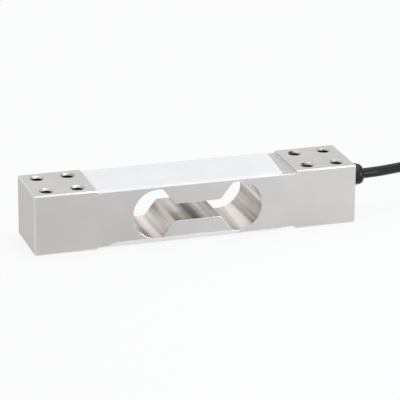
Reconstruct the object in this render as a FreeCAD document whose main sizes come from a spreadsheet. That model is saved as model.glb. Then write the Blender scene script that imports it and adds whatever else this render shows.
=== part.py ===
"""Single point load cell with its cable.

An aluminium beam lies along X on its lower pads, with the cable entry at +X. The origin is the middle of
the beam's underside and +Z is up. All sizes are in millimetres.
"""

import FreeCAD
import Part
import Sketcher

import math
import os

# Driving sizes. Each one can be changed by itself.
SIZES = {
    # beam
    "beam_length": 150.0,
    "beam_width": 30.0,
    "beam_height": 27.5,
    "pad_length": 28.5,
    "recess_depth": 1.2,
    "recess_round": 0.8,
    "edge_break": 0.4,
    # binocular cut-out
    "thin_wall": 1.05,
    "bore_place": 0.4,
    "bore_flat_cut": 0.3,
    "shoulder_offset": 2.4,
    "slot_height": 8.0,
    "slot_offset": 8.1,
    "shoulder_round": 1.2,
    "slot_round": 0.8,
    # bolt holes, tapped M6 from pad to pad
    "bolt_bore": 5.0,
    "bolt_mouth": 6.5,
    "bolt_pitch_long": 14.0,
    "bolt_pitch_wide": 17.0,
    # wire passages
    "passage_bore": 4.6,
    "passage_setback": 8.5,
    # strain gauges, terminals and compensation board
    "gauge_length": 8.0,
    "gauge_width": 5.5,
    "gauge_thickness": 0.1,
    "terminal_length": 8.0,
    "terminal_width": 6.0,
    "terminal_thickness": 0.3,
    "board_length": 6.0,
    "board_width": 10.0,
    "board_thickness": 0.3,
    "board_gap": 1.5,
    "resistor_length": 3.2,
    "resistor_width": 1.6,
    "resistor_height": 0.35,
    "resistor_spacing": 5.0,
    "wire_lift": 0.06,
    "link_wire": 0.3,
    "link_spacing": 2.4,
    "riser_spacing": 4.0,
    "detour_spacing": 7.0,
    "core_wire": 0.8,
    "core_spacing": 0.85,
    "core_bend": 1.5,
    "link_bend": 0.7,
    # sealant
    "sealant_edge": 0.2,
    "sealant_crown": 0.7,
    "sealant_shoulder": 3.5,
    "sealant_gap": 3.7,
    # cable gland
    "gland_height": 17.5,
    "gland_thread": 8.0,
    "gland_thread_play": 0.1,
    "gland_bore_depth": 10.0,
    "shank_length": 9.0,
    "washer_width": 10.5,
    "washer_thickness": 0.8,
    "flange_flats": 11.0,
    "flange_thickness": 1.8,
    "collar_width": 7.2,
    "collar_length": 2.6,
    "nut_flats": 9.6,
    "nut_hex_length": 3.3,
    "nut_length": 6.3,
    "nut_dome_round": 2.4,
    "nut_end_wall": 1.1,
    "nut_play": 0.1,
    # cable
    "cable_width": 4.8,
    "cable_play": 0.3,
    "cable_inset": 1.0,
    # hank and its ties
    "hank_distance": 72.0,
    "hank_centre_y": -3.6,
    "hank_run": 86.0,
    "hank_fold": 14.4,
    "hank_turns": 3.0,
    "strand_sink": 0.3,
    "stub_play": 0.5,
    "lead_in": 9.2,
    "lead_out": 8.5,
    "tie_width": 3.6,
    "tie_thickness": 1.1,
    "tie_play": 0.3,
    "tie_head": 5.0,
    # stripped end
    "sleeve_thickness": 0.5,
    "sleeve_length": 14.0,
    "sleeve_overlap": 4.0,
    "lead_width": 1.1,
    "lead_length": 15.0,
    "lead_tip_width": 0.7,
    "lead_tip_length": 4.0,
    "lead_spacing": 1.15,
    "lead_spread": 2.2,
}

# Places that follow from the sizes.
PLACES = {
    "half_length": "=Sizes.beam_length / 2",
    "half_width": "=Sizes.beam_width / 2",
    "middle_height": "=Sizes.beam_height / 2",
    "recess_half": "=half_length - Sizes.pad_length",
    "upper_floor": "=Sizes.beam_height - Sizes.recess_depth",
    # cut-out
    "bore_radius": "=middle_height - Sizes.recess_depth - Sizes.thin_wall",
    "bore_flat": "=bore_radius - Sizes.bore_flat_cut",
    "bore_offset": "=recess_half * Sizes.bore_place",
    "flat_x": "=bore_offset + bore_flat",
    "shoulder_x": "=bore_offset - Sizes.shoulder_offset",
    "slot_x": "=bore_offset - Sizes.slot_offset",
    "slot_top": "=middle_height + Sizes.slot_height / 2",
    "slot_foot": "=middle_height - Sizes.slot_height / 2",
    # bolt holes
    "bolt_radius": "=Sizes.bolt_bore / 2",
    "bolt_near": "=half_length - Sizes.pad_length / 2 + Sizes.bolt_pitch_long / 2",
    "bolt_far": "=half_length - Sizes.pad_length / 2 - Sizes.bolt_pitch_long / 2",
    "bolt_side": "=Sizes.bolt_pitch_wide / 2",
    "bolt_chamfer": "=(Sizes.bolt_mouth - Sizes.bolt_bore) / 2",
    # passages
    "passage_offset": "=recess_half - Sizes.passage_setback",
    "passage_radius": "=Sizes.passage_bore / 2",
    "gland_bore_radius": "=(Sizes.gland_thread + Sizes.gland_thread_play) / 2",
    # wiring
    "board_end": "=passage_offset - passage_radius - Sizes.board_gap",
    "terminal_end": "=Sizes.terminal_length / 2",
    "gauge_inner": "=bore_offset - Sizes.gauge_length / 2",
    # gland, measured along its own axis from the end face
    "flange_start": "=Sizes.washer_thickness",
    "flange_end": "=flange_start + Sizes.flange_thickness",
    "shank_end": "=flange_start - Sizes.shank_length",
    "shank_radius": "=Sizes.gland_thread / 2",
    "shank_lead": "=shank_radius - Sizes.edge_break",
    "shank_lead_start": "=shank_end + Sizes.edge_break",
    "collar_radius": "=Sizes.collar_width / 2",
    "collar_end": "=flange_end + Sizes.collar_length",
    "flange_half": "=Sizes.flange_flats / 2",
    "flange_corner": "=Sizes.flange_flats / sqrt(3)",
    "flange_corner_half": "=flange_corner / 2",
    "gland_hole_radius": "=(Sizes.cable_width + Sizes.cable_play) / 2",
    "nut_start": "=flange_end",
    "nut_hex_end": "=nut_start + Sizes.nut_hex_length",
    "nut_end": "=nut_start + Sizes.nut_length",
    "nut_half": "=Sizes.nut_flats / 2",
    "nut_corner": "=Sizes.nut_flats / sqrt(3)",
    "nut_corner_half": "=nut_corner / 2",
    "nut_corner_start": "=nut_start + nut_corner - nut_half",
    "nut_corner_end": "=nut_hex_end - nut_corner + nut_half",
    "nut_cavity_radius": "=collar_radius + Sizes.nut_play",
    "nut_cavity_end": "=nut_end - Sizes.nut_end_wall",
    "seal_length": "=nut_cavity_end - collar_end",
    # cable, hank and sleeve
    "cable_radius": "=Sizes.cable_width / 2",
    "cable_start": "=half_length - Sizes.cable_inset",
    "hank_left": "=half_length + Sizes.hank_distance",
    "hank_right": "=hank_left + Sizes.hank_run",
    "hank_middle": "=(hank_left + hank_right) / 2",
    "hank_inner": "=Sizes.hank_fold - cable_radius",
    "hank_outer": "=Sizes.hank_fold + cable_radius",
    "hank_floor": "=Sizes.tie_thickness",
    "hank_height": "=Sizes.hank_turns * Sizes.cable_width",
    "hank_top": "=hank_floor + hank_height",
    "strand_y": "=Sizes.hank_centre_y + Sizes.hank_fold",
    "lower_strand": "=hank_floor + cable_radius",
    "upper_strand": "=hank_top + cable_radius - Sizes.strand_sink",
    "strand_reach": "=sqrt(pow(hank_outer; 2) - pow(hank_inner; 2)) + Sizes.stub_play",
    "entry_x": "=hank_left - strand_reach",
    "exit_x": "=hank_right + strand_reach",
    "tie_half": "=Sizes.tie_width / 2",
    "tie_frame": "=Sizes.cable_width + 2 * (Sizes.tie_thickness + Sizes.tie_play)",
    "tie_window": "=Sizes.cable_width + 2 * Sizes.tie_play",
    "top_strand_top": "=upper_strand + cable_radius",
    "sleeve_radius": "=cable_radius + Sizes.sleeve_thickness",
    "lead_radius": "=Sizes.lead_width / 2",
    "lead_tip_radius": "=Sizes.lead_tip_width / 2",
}

# The cable's route from the gland to the hank, chosen by hand: distance from the beam's end face, distance
# to the back, and share of the height between the gland and the hank's top strand that is still to go.
RUN_POINTS = [
    (12.8, 0.0, 1.0),
    (23.6, 3.3, 1.0),
    (32.8, 6.0, 0.8),
    (41.8, 8.5, 0.4),
]
# The route from the hank to the stripped end: distances from the end face and to the back, and the same
# share for the height between the hank's lowest strand and the sleeve.
TAIL_POINTS = [
    (187.2, 9.2, 0.0),
    (195.6, 9.2, 0.0),
]
LEAD_NAMES = ["lead_red", "lead_black", "lead_green", "lead_white", "lead_shield"]

WIRE_SIDES = 8
ALONG_X = FreeCAD.Rotation(FreeCAD.Vector(0, 1, 0), 90)
UPRIGHT = FreeCAD.Rotation()
CLOSE = 1e-4

doc = FreeCAD.newDocument("LoadCell")
sheets = {}
nodes = []


# ---------------------------------------------------------------- sheets and named values


def fill_sheet(name, cells):
    """Put named cells in a new spreadsheet."""
    sheet = doc.addObject("Spreadsheet::Sheet", name)
    for row, (alias, text) in enumerate(cells.items(), start=1):
        sheet.set(f"A{row}", alias)
        sheet.set(f"B{row}", str(text))
        sheet.setAlias(f"B{row}", alias)
    doc.recompute()
    sheets[name] = sheet


def tied(name):
    """Return the expression for a named size or place; a leading minus turns its sign."""
    if name.startswith("-"):
        return "-" + tied(name[1:])
    return f"Sizes.{name}" if name in SIZES else f"Places.{name}"


def value(name):
    """Return the number that a named size or place holds; a leading minus turns its sign."""
    if name.startswith("-"):
        return -value(name[1:])
    return float(sheets["Sizes" if name in SIZES else "Places"].get(name))


def tie(feature, formulas):
    """Bind properties of a feature to expressions."""
    for path, formula in formulas.items():
        feature.setExpression(path, formula)


def keep(feature):
    """Note a finished piece, which is written to a file named after its label."""
    nodes.append(feature)
    return feature


# ---------------------------------------------------------------- sketches


def new_sketch(body, name, plane, offset=None):
    """Attach a new sketch to one of the body's origin planes, moved along its normal by a named offset."""
    sketch = body.newObject("Sketcher::SketchObject", name)
    support = next(part for part in body.Origin.OriginFeatures if part.Role == plane)
    sketch.AttachmentSupport = [(support, "")]
    sketch.MapMode = "FlatFace"
    if offset:
        sketch.setExpression("AttachmentOffset.Base.z", tied(offset))
    return sketch


def pin(sketch, geometry, point, across, up):
    """Hold one point of a sketch at named distances from the sketch's origin; None keeps it on that axis."""
    for kind, name, axis in (("DistanceX", across, -2), ("DistanceY", up, -1)):
        if name is None:
            sketch.addConstraint(Sketcher.Constraint("PointOnObject", geometry, point, axis))
            continue
        index = sketch.addConstraint(Sketcher.Constraint(kind, -1, 1, geometry, point, value(name)))
        sketch.setExpression(f"Constraints[{index}]", tied(name))


def spot(across, up):
    """Return the point at two named distances."""
    return FreeCAD.Vector(value(across) if across else 0.0, value(up) if up else 0.0, 0)


def outline(sketch, corners):
    """Draw a closed loop of straight lines whose corners are held at named places."""
    count = len(corners)
    for index, corner in enumerate(corners):
        following = corners[(index + 1) % count]
        sketch.addGeometry(Part.LineSegment(spot(*corner), spot(*following)))
    for index, corner in enumerate(corners):
        sketch.addConstraint(Sketcher.Constraint("Coincident", index, 2, (index + 1) % count, 1))
        pin(sketch, index, 1, *corner)


def circles(sketch, centres, radius):
    """Draw circles of one named radius at named centres."""
    for centre in centres:
        circle = Part.Circle(spot(*centre), FreeCAD.Vector(0, 0, 1), value(radius))
        index = sketch.addGeometry(circle)
        pin(sketch, index, 3, *centre)
        size = sketch.addConstraint(Sketcher.Constraint("Radius", index, value(radius)))
        sketch.setExpression(f"Constraints[{size}]", tied(radius))


def hexagon(sketch, half, corner, corner_half):
    """Draw a hexagon with one corner up and one down."""
    outline(
        sketch,
        [
            (None, corner),
            ("-" + half, corner_half),
            ("-" + half, "-" + corner_half),
            (None, "-" + corner),
            (half, "-" + corner_half),
            (half, corner_half),
        ],
    )


# ---------------------------------------------------------------- features


def pad(body, sketch, name, length, symmetric=False):
    """Extrude a sketch by a named length, along its normal or to both sides."""
    feature = body.newObject("PartDesign::Pad", name)
    feature.Profile = sketch
    feature.setExpression("Length", tied(length))
    feature.Midplane = symmetric
    doc.recompute()
    return feature


def pocket(body, sketch, name, length=None, symmetric=False, turned=False):
    """Cut a sketch out of the body, by a formula's length or through everything."""
    feature = body.newObject("PartDesign::Pocket", name)
    feature.Profile = sketch
    feature.Midplane = symmetric
    feature.Reversed = turned
    if length:
        feature.setExpression("Length", length)
    else:
        feature.Type = "ThroughAll"
    before = feature.BaseFeature.Shape.Volume
    doc.recompute()
    if feature.Shape.Volume >= before - CLOSE:
        raise RuntimeError(f"{name} cuts nothing")
    return feature


def revolve(body, sketch, name):
    """Turn a sketch round its own X axis."""
    feature = body.newObject("PartDesign::Revolution", name)
    feature.Profile = sketch
    feature.ReferenceAxis = (sketch, ["H_Axis"])
    feature.Angle = 360
    doc.recompute()
    return feature


def dress(body, kind, name, base, size, wanted):
    """Round or bevel by a named size the edges of the last feature that the test picks."""
    edges = [f"Edge{n}" for n, edge in enumerate(base.Shape.Edges, start=1) if wanted(edge)]
    if not edges:
        raise RuntimeError(f"{name} finds no edge")
    feature = body.newObject("PartDesign::" + kind, name)
    feature.Base = (base, edges)
    feature.setExpression("Radius" if kind == "Fillet" else "Size", tied(size))
    doc.recompute()
    return feature


def at(x, y, z):
    """Return the expressions that place a feature at three formulas; None leaves a coordinate at zero."""
    formulas = {"x": x, "y": y, "z": z}
    return {f"Placement.Base.{axis}": text for axis, text in formulas.items() if text}


def box(label, length, width, height, corner):
    """Make a box from formulas for its sizes and its lowest corner."""
    feature = doc.addObject("Part::Box", label)
    tie(feature, {"Length": length, "Width": width, "Height": height, **at(*corner)})
    return feature


def rod(label, radius, length, start, turn):
    """Make a round rod from formulas, from its start along the direction that the turn gives."""
    feature = doc.addObject("Part::Cylinder", label)
    feature.Placement.Rotation = turn
    tie(feature, {"Radius": radius, "Height": length, **at(*start)})
    return feature


def join(label, pieces):
    """Fuse pieces into one solid."""
    feature = doc.addObject("Part::MultiFuse", label)
    feature.Shapes = pieces
    return feature


def gather(label, pieces):
    """Hold several separate solids as one piece."""
    feature = doc.addObject("Part::Compound", label)
    feature.Links = pieces
    return feature


def carve(label, base, tool):
    """Cut one feature out of another."""
    feature = doc.addObject("Part::Cut", label)
    feature.Base = base
    feature.Tool = tool
    return feature


# ---------------------------------------------------------------- wires and cable


def bent_path(points, widest=None):
    """Join straight runs by tangent arcs as large as their runs allow.

    Returns the wire, its length and the arcs' radii.
    """
    spots = [FreeCAD.Vector(*point) for point in points]
    edges = []
    radii = []
    start = spots[0]
    for before, corner, after in zip(spots, spots[1:], spots[2:]):
        incoming = (corner - before).normalize()
        outgoing = (after - corner).normalize()
        half_turn = incoming.getAngle(outgoing) / 2
        reach = 0.45 * min(before.distanceToPoint(corner), corner.distanceToPoint(after))
        radius = reach / math.tan(half_turn)
        if widest:
            radius = min(radius, widest)
        reach = radius * math.tan(half_turn)
        arc_start = corner - incoming * reach
        arc_end = corner + outgoing * reach
        inward = (outgoing - incoming).normalize()
        middle = corner + inward * (radius / math.cos(half_turn) - radius)
        edges.append(Part.LineSegment(start, arc_start).toShape())
        edges.append(Part.Arc(arc_start, middle, arc_end).toShape())
        radii.append(radius)
        start = arc_end
    edges.append(Part.LineSegment(start, spots[-1]).toShape())
    wire = Part.Wire(edges)
    return wire, wire.Length, radii


def sweep(label, section, points, widest=None):
    """Sweep a section that stands across the first point along a bent path, and check its volume."""
    path, length, radii = bent_path(points, widest)
    shape = path.makePipeShell([section], True, False)
    expected = Part.Face(section).Area * length
    if abs(shape.Volume - expected) > 0.002 * expected:
        raise RuntimeError(f"{label} has volume {shape.Volume:.2f}, not {expected:.2f}")
    return shape, length, radii


def wire_section(start, heading, radius):
    """Return a thin wire's section: a regular figure with few sides that fits in its circle."""
    turn = FreeCAD.Rotation(FreeCAD.Vector(0, 0, 1), heading)
    corners = []
    for step in range(WIRE_SIDES + 1):
        angle = math.tau * (step + 0.5) / WIRE_SIDES
        corner = FreeCAD.Vector(radius * math.cos(angle), radius * math.sin(angle), 0)
        corners.append(start + turn.multVec(corner))
    return Part.makePolygon(corners)


def wire_shapes(label, routes, radius, widest=None):
    """Return the solids of separate thin wires."""
    solids = []
    for route in routes:
        start = FreeCAD.Vector(*route[0])
        heading = FreeCAD.Vector(*route[1]) - start
        solids.append(sweep(label, wire_section(start, heading, radius), route, widest)[0])
    return solids


def solids_piece(label, solids):
    """Make one piece of ready-made solids."""
    feature = doc.addObject("Part::Feature", label)
    feature.Shape = solids[0] if len(solids) == 1 else Part.makeCompound(solids)
    return keep(feature)


def cable_tube(label, points):
    """Make a stretch of the cable, and print its length and bends."""
    start = FreeCAD.Vector(*points[0])
    heading = FreeCAD.Vector(*points[1]) - start
    section = Part.Wire([Part.Circle(start, heading, value("cable_radius")).toShape()])
    shape, length, radii = sweep(label, section, points)
    bends = ", ".join(f"{radius:.1f}" for radius in radii)
    print(f"{label}: {length:.1f} mm long, bend radii {bends} mm")
    return solids_piece(label, [shape])


# ---------------------------------------------------------------- beam


def on_outer_edges(edge):
    """Tell whether an edge runs along a corner of the block that the beam is cut from."""
    ends = [vertex.Point for vertex in edge.Vertexes]
    length, width = value("half_length"), value("half_width")
    sides = [(0, -length), (0, length), (1, -width), (1, width), (2, 0.0), (2, value("beam_height"))]
    faces = sum(all(abs(end[axis] - level) < CLOSE for end in ends) for axis, level in sides)
    return faces == 2


def across_at(spots):
    """Return a test for edges that run along Y through one of the given places in X and Z."""

    def wanted(edge):
        ends = [vertex.Point for vertex in edge.Vertexes]
        if len(ends) != 2 or abs(ends[0].x - ends[1].x) + abs(ends[0].z - ends[1].z) > CLOSE:
            return False
        return any(abs(ends[0].x - x) + abs(ends[0].z - z) < CLOSE for x, z in spots)

    return wanted


def bolt_mouth(edge):
    """Tell whether an edge is the rim of a bolt hole."""
    curve = edge.Curve
    return isinstance(curve, Part.Circle) and abs(curve.Radius - value("bolt_radius")) < CLOSE


def draw_cutout(sketch):
    """Draw the binocular outline: two bores with flattened outer walls, joined by a waisted slot."""
    radius = value("bore_radius")
    middle = value("middle_height")
    rise_flat = math.sqrt(radius**2 - value("bore_flat") ** 2)
    rise_shoulder = math.sqrt(radius**2 - value("shoulder_offset") ** 2)
    slot = {1: "slot_top", -1: "slot_foot"}

    def flat(side, level):
        return FreeCAD.Vector(side * value("flat_x"), middle + level * rise_flat, 0)

    def shoulder(side, level):
        return FreeCAD.Vector(side * value("shoulder_x"), middle + level * rise_shoulder, 0)

    def waist(side, level):
        return FreeCAD.Vector(side * value("slot_x"), value(slot[level]), 0)

    def bore_arc(side, level):
        """Add a quarter of a bore, anticlockwise, and hold its centre, radius and ends."""
        centre = FreeCAD.Vector(side * value("bore_offset"), middle, 0)
        ends = [flat(side, level), shoulder(side, level)]
        names = ["flat_x", "shoulder_x"]
        if side != level:
            ends.reverse()
            names.reverse()
        angles = [math.atan2(end.y - centre.y, end.x - centre.x) for end in ends]
        circle = Part.Circle(centre, FreeCAD.Vector(0, 0, 1), radius)
        index = sketch.addGeometry(Part.ArcOfCircle(circle, *angles))
        sign = "" if side > 0 else "-"
        pin(sketch, index, 3, sign + "bore_offset", "middle_height")
        size = sketch.addConstraint(Sketcher.Constraint("Radius", index, radius))
        sketch.setExpression(f"Constraints[{size}]", tied("bore_radius"))
        for point, name in enumerate(names, start=1):
            place = Sketcher.Constraint("DistanceX", -1, 1, index, point, side * value(name))
            held = sketch.addConstraint(place)
            sketch.setExpression(f"Constraints[{held}]", tied(sign + name))

    def line(start, end):
        return sketch.addGeometry(Part.LineSegment(start, end))

    for side in (1, -1):
        # up the right-hand bore and down the left-hand one, with the slot's edge after each
        sign = "" if side > 0 else "-"
        bore_arc(side, -side)
        line(flat(side, -side), flat(side, side))
        bore_arc(side, side)
        line(shoulder(side, side), waist(side, side))
        index = line(waist(side, side), waist(-side, side))
        pin(sketch, index, 1, sign + "slot_x", slot[side])
        other = "-" if side > 0 else ""
        pin(sketch, index, 2, other + "slot_x", slot[side])
        line(waist(-side, side), shoulder(-side, side))
    count = sketch.GeometryCount
    for index in range(count):
        sketch.addConstraint(Sketcher.Constraint("Coincident", index, 2, (index + 1) % count, 1))
    return rise_shoulder


def make_beam():
    """Build the beam: block with recesses, cut-out, bolt holes, cable entry and wire passages."""
    body = doc.addObject("PartDesign::Body", "beam")
    side = new_sketch(body, "SideProfile", "XZ_Plane")
    outline(
        side,
        [
            ("-half_length", None),
            ("-recess_half", None),
            ("-recess_half", "recess_depth"),
            ("recess_half", "recess_depth"),
            ("recess_half", None),
            ("half_length", None),
            ("half_length", "beam_height"),
            ("recess_half", "beam_height"),
            ("recess_half", "upper_floor"),
            ("-recess_half", "upper_floor"),
            ("-recess_half", "beam_height"),
            ("-half_length", "beam_height"),
        ],
    )
    block = pad(body, side, "Block", "beam_width", symmetric=True)

    recess, lower, upper = value("recess_half"), value("recess_depth"), value("upper_floor")
    feet = [(x, z) for x in (-recess, recess) for z in (lower, upper)]
    rounded = dress(body, "Fillet", "RecessFeet", block, "recess_round", across_at(feet))
    broken = dress(body, "Chamfer", "BrokenEdges", rounded, "edge_break", on_outer_edges)

    profile = new_sketch(body, "CutoutProfile", "XZ_Plane")
    rise = draw_cutout(profile)
    cutout = pocket(body, profile, "Cutout", symmetric=True)
    shoulder, middle, slot = value("shoulder_x"), value("middle_height"), value("slot_x")
    shoulders = [(x, middle + dz) for x in (-shoulder, shoulder) for dz in (-rise, rise)]
    waists = [(x, value(z)) for x in (-slot, slot) for z in ("slot_foot", "slot_top")]
    eased = dress(body, "Fillet", "ShoulderRounds", cutout, "shoulder_round", across_at(shoulders))
    dress(body, "Fillet", "SlotRounds", eased, "slot_round", across_at(waists))

    bolts = new_sketch(body, "BoltCentres", "XY_Plane", "beam_height")
    rows = ("bolt_near", "bolt_far", "-bolt_near", "-bolt_far")
    circles(bolts, [(x, y) for x in rows for y in ("bolt_side", "-bolt_side")], "bolt_radius")
    doc.recompute()
    drilled = body.newObject("PartDesign::Hole", "BoltHoles")
    drilled.Profile = bolts
    drilled.DepthType = "ThroughAll"
    drilled.Threaded = False
    drilled.setExpression("Diameter", tied("bolt_bore"))
    doc.recompute()
    dress(body, "Chamfer", "BoltMouths", drilled, "bolt_chamfer", bolt_mouth)

    riser = new_sketch(body, "RiserProfile", "XY_Plane")
    circles(riser, [("passage_offset", None)], "passage_radius")
    pocket(body, riser, "Riser", turned=True)
    entry = new_sketch(body, "EntryProfile", "YZ_Plane", "half_length")
    circles(entry, [(None, "gland_height")], "gland_bore_radius")
    pocket(body, entry, "CableEntry", tied("gland_bore_depth"))
    passage = new_sketch(body, "PassageProfile", "YZ_Plane", "half_length")
    circles(passage, [(None, "gland_height")], "passage_radius")
    pocket(body, passage, "WirePassage", "Places.half_length - Places.passage_offset")
    return keep(body)


# ---------------------------------------------------------------- gauges, wiring and sealant


def make_gauges():
    """Lay a strain gauge over and under each bore; return the upper and the lower ones."""
    levels = {
        "top": "Places.upper_floor",
        "bottom": "Sizes.recess_depth - Sizes.gauge_thickness",
    }
    sides = {"left": "-Places.bore_offset", "right": "Places.bore_offset"}
    gauges = {level: [] for level in levels}
    for level, height in levels.items():
        for side, centre in sides.items():
            corner = (f"{centre} - Sizes.gauge_length / 2", "-Sizes.gauge_width / 2", height)
            gauge = box(
                f"gauge_{level}_{side}",
                "Sizes.gauge_length",
                "Sizes.gauge_width",
                "Sizes.gauge_thickness",
                corner,
            )
            gauges[level].append(keep(gauge))
    return gauges["top"], gauges["bottom"]


def make_terminals():
    """Lay a strip of solder terminals in the middle of each recess."""
    terminals = []
    heights = {
        "terminal_top": "Places.upper_floor",
        "terminal_bottom": "Sizes.recess_depth - Sizes.terminal_thickness",
    }
    for label, height in heights.items():
        terminal = box(
            label,
            "Sizes.terminal_length",
            "Sizes.terminal_width",
            "Sizes.terminal_thickness",
            ("-Sizes.terminal_length / 2", "-Sizes.terminal_width / 2", height),
        )
        terminals.append(keep(terminal))
    return terminals


def make_board():
    """Lay the compensation board beside the wire passage, with two chip resistors on it."""
    board = box(
        "trim_board",
        "Sizes.board_length",
        "Sizes.board_width",
        "Sizes.board_thickness",
        ("Places.board_end - Sizes.board_length", "-Sizes.board_width / 2", "Places.upper_floor"),
    )
    chips = []
    for name, sign in (("FrontChip", "-"), ("BackChip", "")):
        corner = (
            "Places.board_end - (Sizes.board_length + Sizes.resistor_length) / 2",
            f"{sign}Sizes.resistor_spacing / 2 - Sizes.resistor_width / 2",
            "Places.upper_floor + Sizes.board_thickness",
        )
        size = ("Sizes.resistor_length", "Sizes.resistor_width", "Sizes.resistor_height")
        chips.append(box(name, *size, corner))
    return keep(board), keep(gather("trim_resistors", chips))


def straight_links(level):
    """Return the routes of the straight wires from the terminals of one recess to its two gauges."""
    terminal, gauge = value("terminal_end"), value("gauge_inner")
    routes = []
    for side in (-1, 1):
        for offset in (-value("link_spacing") / 2, value("link_spacing") / 2):
            routes.append([(side * terminal, offset, level), (side * gauge, offset, level)])
    return routes


def make_links():
    """Lay the fine wires: gauges to terminals, terminals to the board, and the lower ones up the passage."""
    radius = value("link_wire") / 2
    terminal, passage = value("terminal_end"), value("passage_offset")
    board_end = value("board_end")
    past_gauge = value("bore_offset") + value("gauge_length") / 2
    lift = radius + value("wire_lift")
    upper, lower = value("upper_floor") + lift, value("recess_depth") - lift
    clear, rise = value("detour_spacing") / 2, value("riser_spacing") / 2
    bend = value("link_bend")

    bridges, risers = [], []
    for side in (-1, 1):
        start = side * (value("terminal_width") / 2 - radius)
        bridges.append(
            [
                (terminal, start, upper),
                (terminal + clear / 2, start, upper),
                (terminal + clear, side * clear, upper),
                (board_end - value("board_length"), side * clear, upper),
            ]
        )
        risers.append(
            [
                (terminal, start, lower),
                (terminal + clear / 2, start, lower),
                (terminal + clear, side * clear, lower),
                (past_gauge + clear / 2, side * clear, lower),
                (board_end, side * rise, lower),
                (passage, side * rise, lower),
                (passage, side * rise, upper),
                (board_end, side * rise, upper),
            ]
        )
    links = []
    for label, level, routes in (
        ("link_wires_top", upper, bridges),
        ("link_wires_bottom", lower, risers),
    ):
        solids = wire_shapes(label, straight_links(level) + routes, radius, bend)
        links.append(solids_piece(label, solids))
    return links


def make_cores():
    """Bring the four cores from the stripped cable through the passages to the board."""
    radius = value("core_wire") / 2
    upper = value("upper_floor") + radius + value("wire_lift")
    routes = []
    for step in (-1.5, -0.5, 0.5, 1.5):
        offset = step * value("core_spacing")
        routes.append(
            [
                (value("cable_start"), offset, value("gland_height")),
                (value("passage_offset"), offset, value("gland_height")),
                (value("passage_offset"), offset, upper),
                (value("board_end"), offset, upper),
            ]
        )
    return solids_piece("cable_cores", wire_shapes("cable_cores", routes, radius, value("core_bend")))


def make_sealant(label, level, turn, buried, beam):
    """Spread sealant over one recess, round what it buries: a thin edge with a raised middle."""
    slab = box(
        label + "_slab",
        "2 * Places.recess_half - Sizes.sealant_gap",
        "Sizes.beam_width",
        "Sizes.sealant_edge",
        ("-Places.recess_half", "-Places.half_width", level[0]),
    )
    crown = doc.addObject("Part::Wedge", label + "_crown")
    crown.Placement.Rotation = turn
    tie(
        crown,
        {
            "Xmin": "-Places.recess_half",
            "Xmax": "Places.recess_half - Sizes.sealant_gap",
            "X2min": "Sizes.sealant_shoulder - Places.recess_half",
            "X2max": "Places.recess_half - Sizes.sealant_gap - Sizes.sealant_shoulder",
            "Ymin": "0",
            "Ymax": "Sizes.sealant_crown",
            "Zmin": "-Places.half_width",
            "Zmax": "Places.half_width",
            "Z2min": "Sizes.sealant_shoulder - Places.half_width",
            "Z2max": "Places.half_width - Sizes.sealant_shoulder",
            **at(None, None, level[1]),
        },
    )
    rest = join(label + "_blank", [slab, crown])
    for piece in [beam] + buried[:-1]:
        rest = carve(f"{label}_round_{piece.Label}", rest, piece)
    return keep(carve(label, rest, buried[-1]))


# ---------------------------------------------------------------- cable gland


def gland_place(feature):
    """Move a piece that is built round its own X axis to the cable entry."""
    tie(feature, at("Places.half_length", None, "Sizes.gland_height"))


def ring(label, outer, inner, start, length):
    """Make a plain ring round the gland's axis from formulas, start measured from the end face."""
    place = (f"Places.half_length + {start}", None, "Sizes.gland_height")
    body = rod(label + "_disc", outer, length, place, ALONG_X)
    hole = rod(label + "_hole", inner, length, place, ALONG_X)
    return keep(carve(label, body, hole))


def make_gland_body():
    """Build the gland's body: threaded shank, hexagon flange and collar for the nut, bored for the cable."""
    body = doc.addObject("PartDesign::Body", "gland_body")
    turned = new_sketch(body, "ShankProfile", "XZ_Plane")
    outline(
        turned,
        [
            ("shank_end", None),
            ("collar_end", None),
            ("collar_end", "collar_radius"),
            ("flange_start", "collar_radius"),
            ("flange_start", "shank_radius"),
            ("shank_lead_start", "shank_radius"),
            ("shank_end", "shank_lead"),
        ],
    )
    revolve(body, turned, "Shank")
    flange = new_sketch(body, "FlangeProfile", "YZ_Plane", "flange_start")
    hexagon(flange, "flange_half", "flange_corner", "flange_corner_half")
    pad(body, flange, "Flange", "flange_thickness")
    hole = new_sketch(body, "CableHoleProfile", "YZ_Plane")
    circles(hole, [(None, None)], "gland_hole_radius")
    pocket(body, hole, "CableHole", symmetric=True)
    gland_place(body)
    return keep(body)


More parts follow.
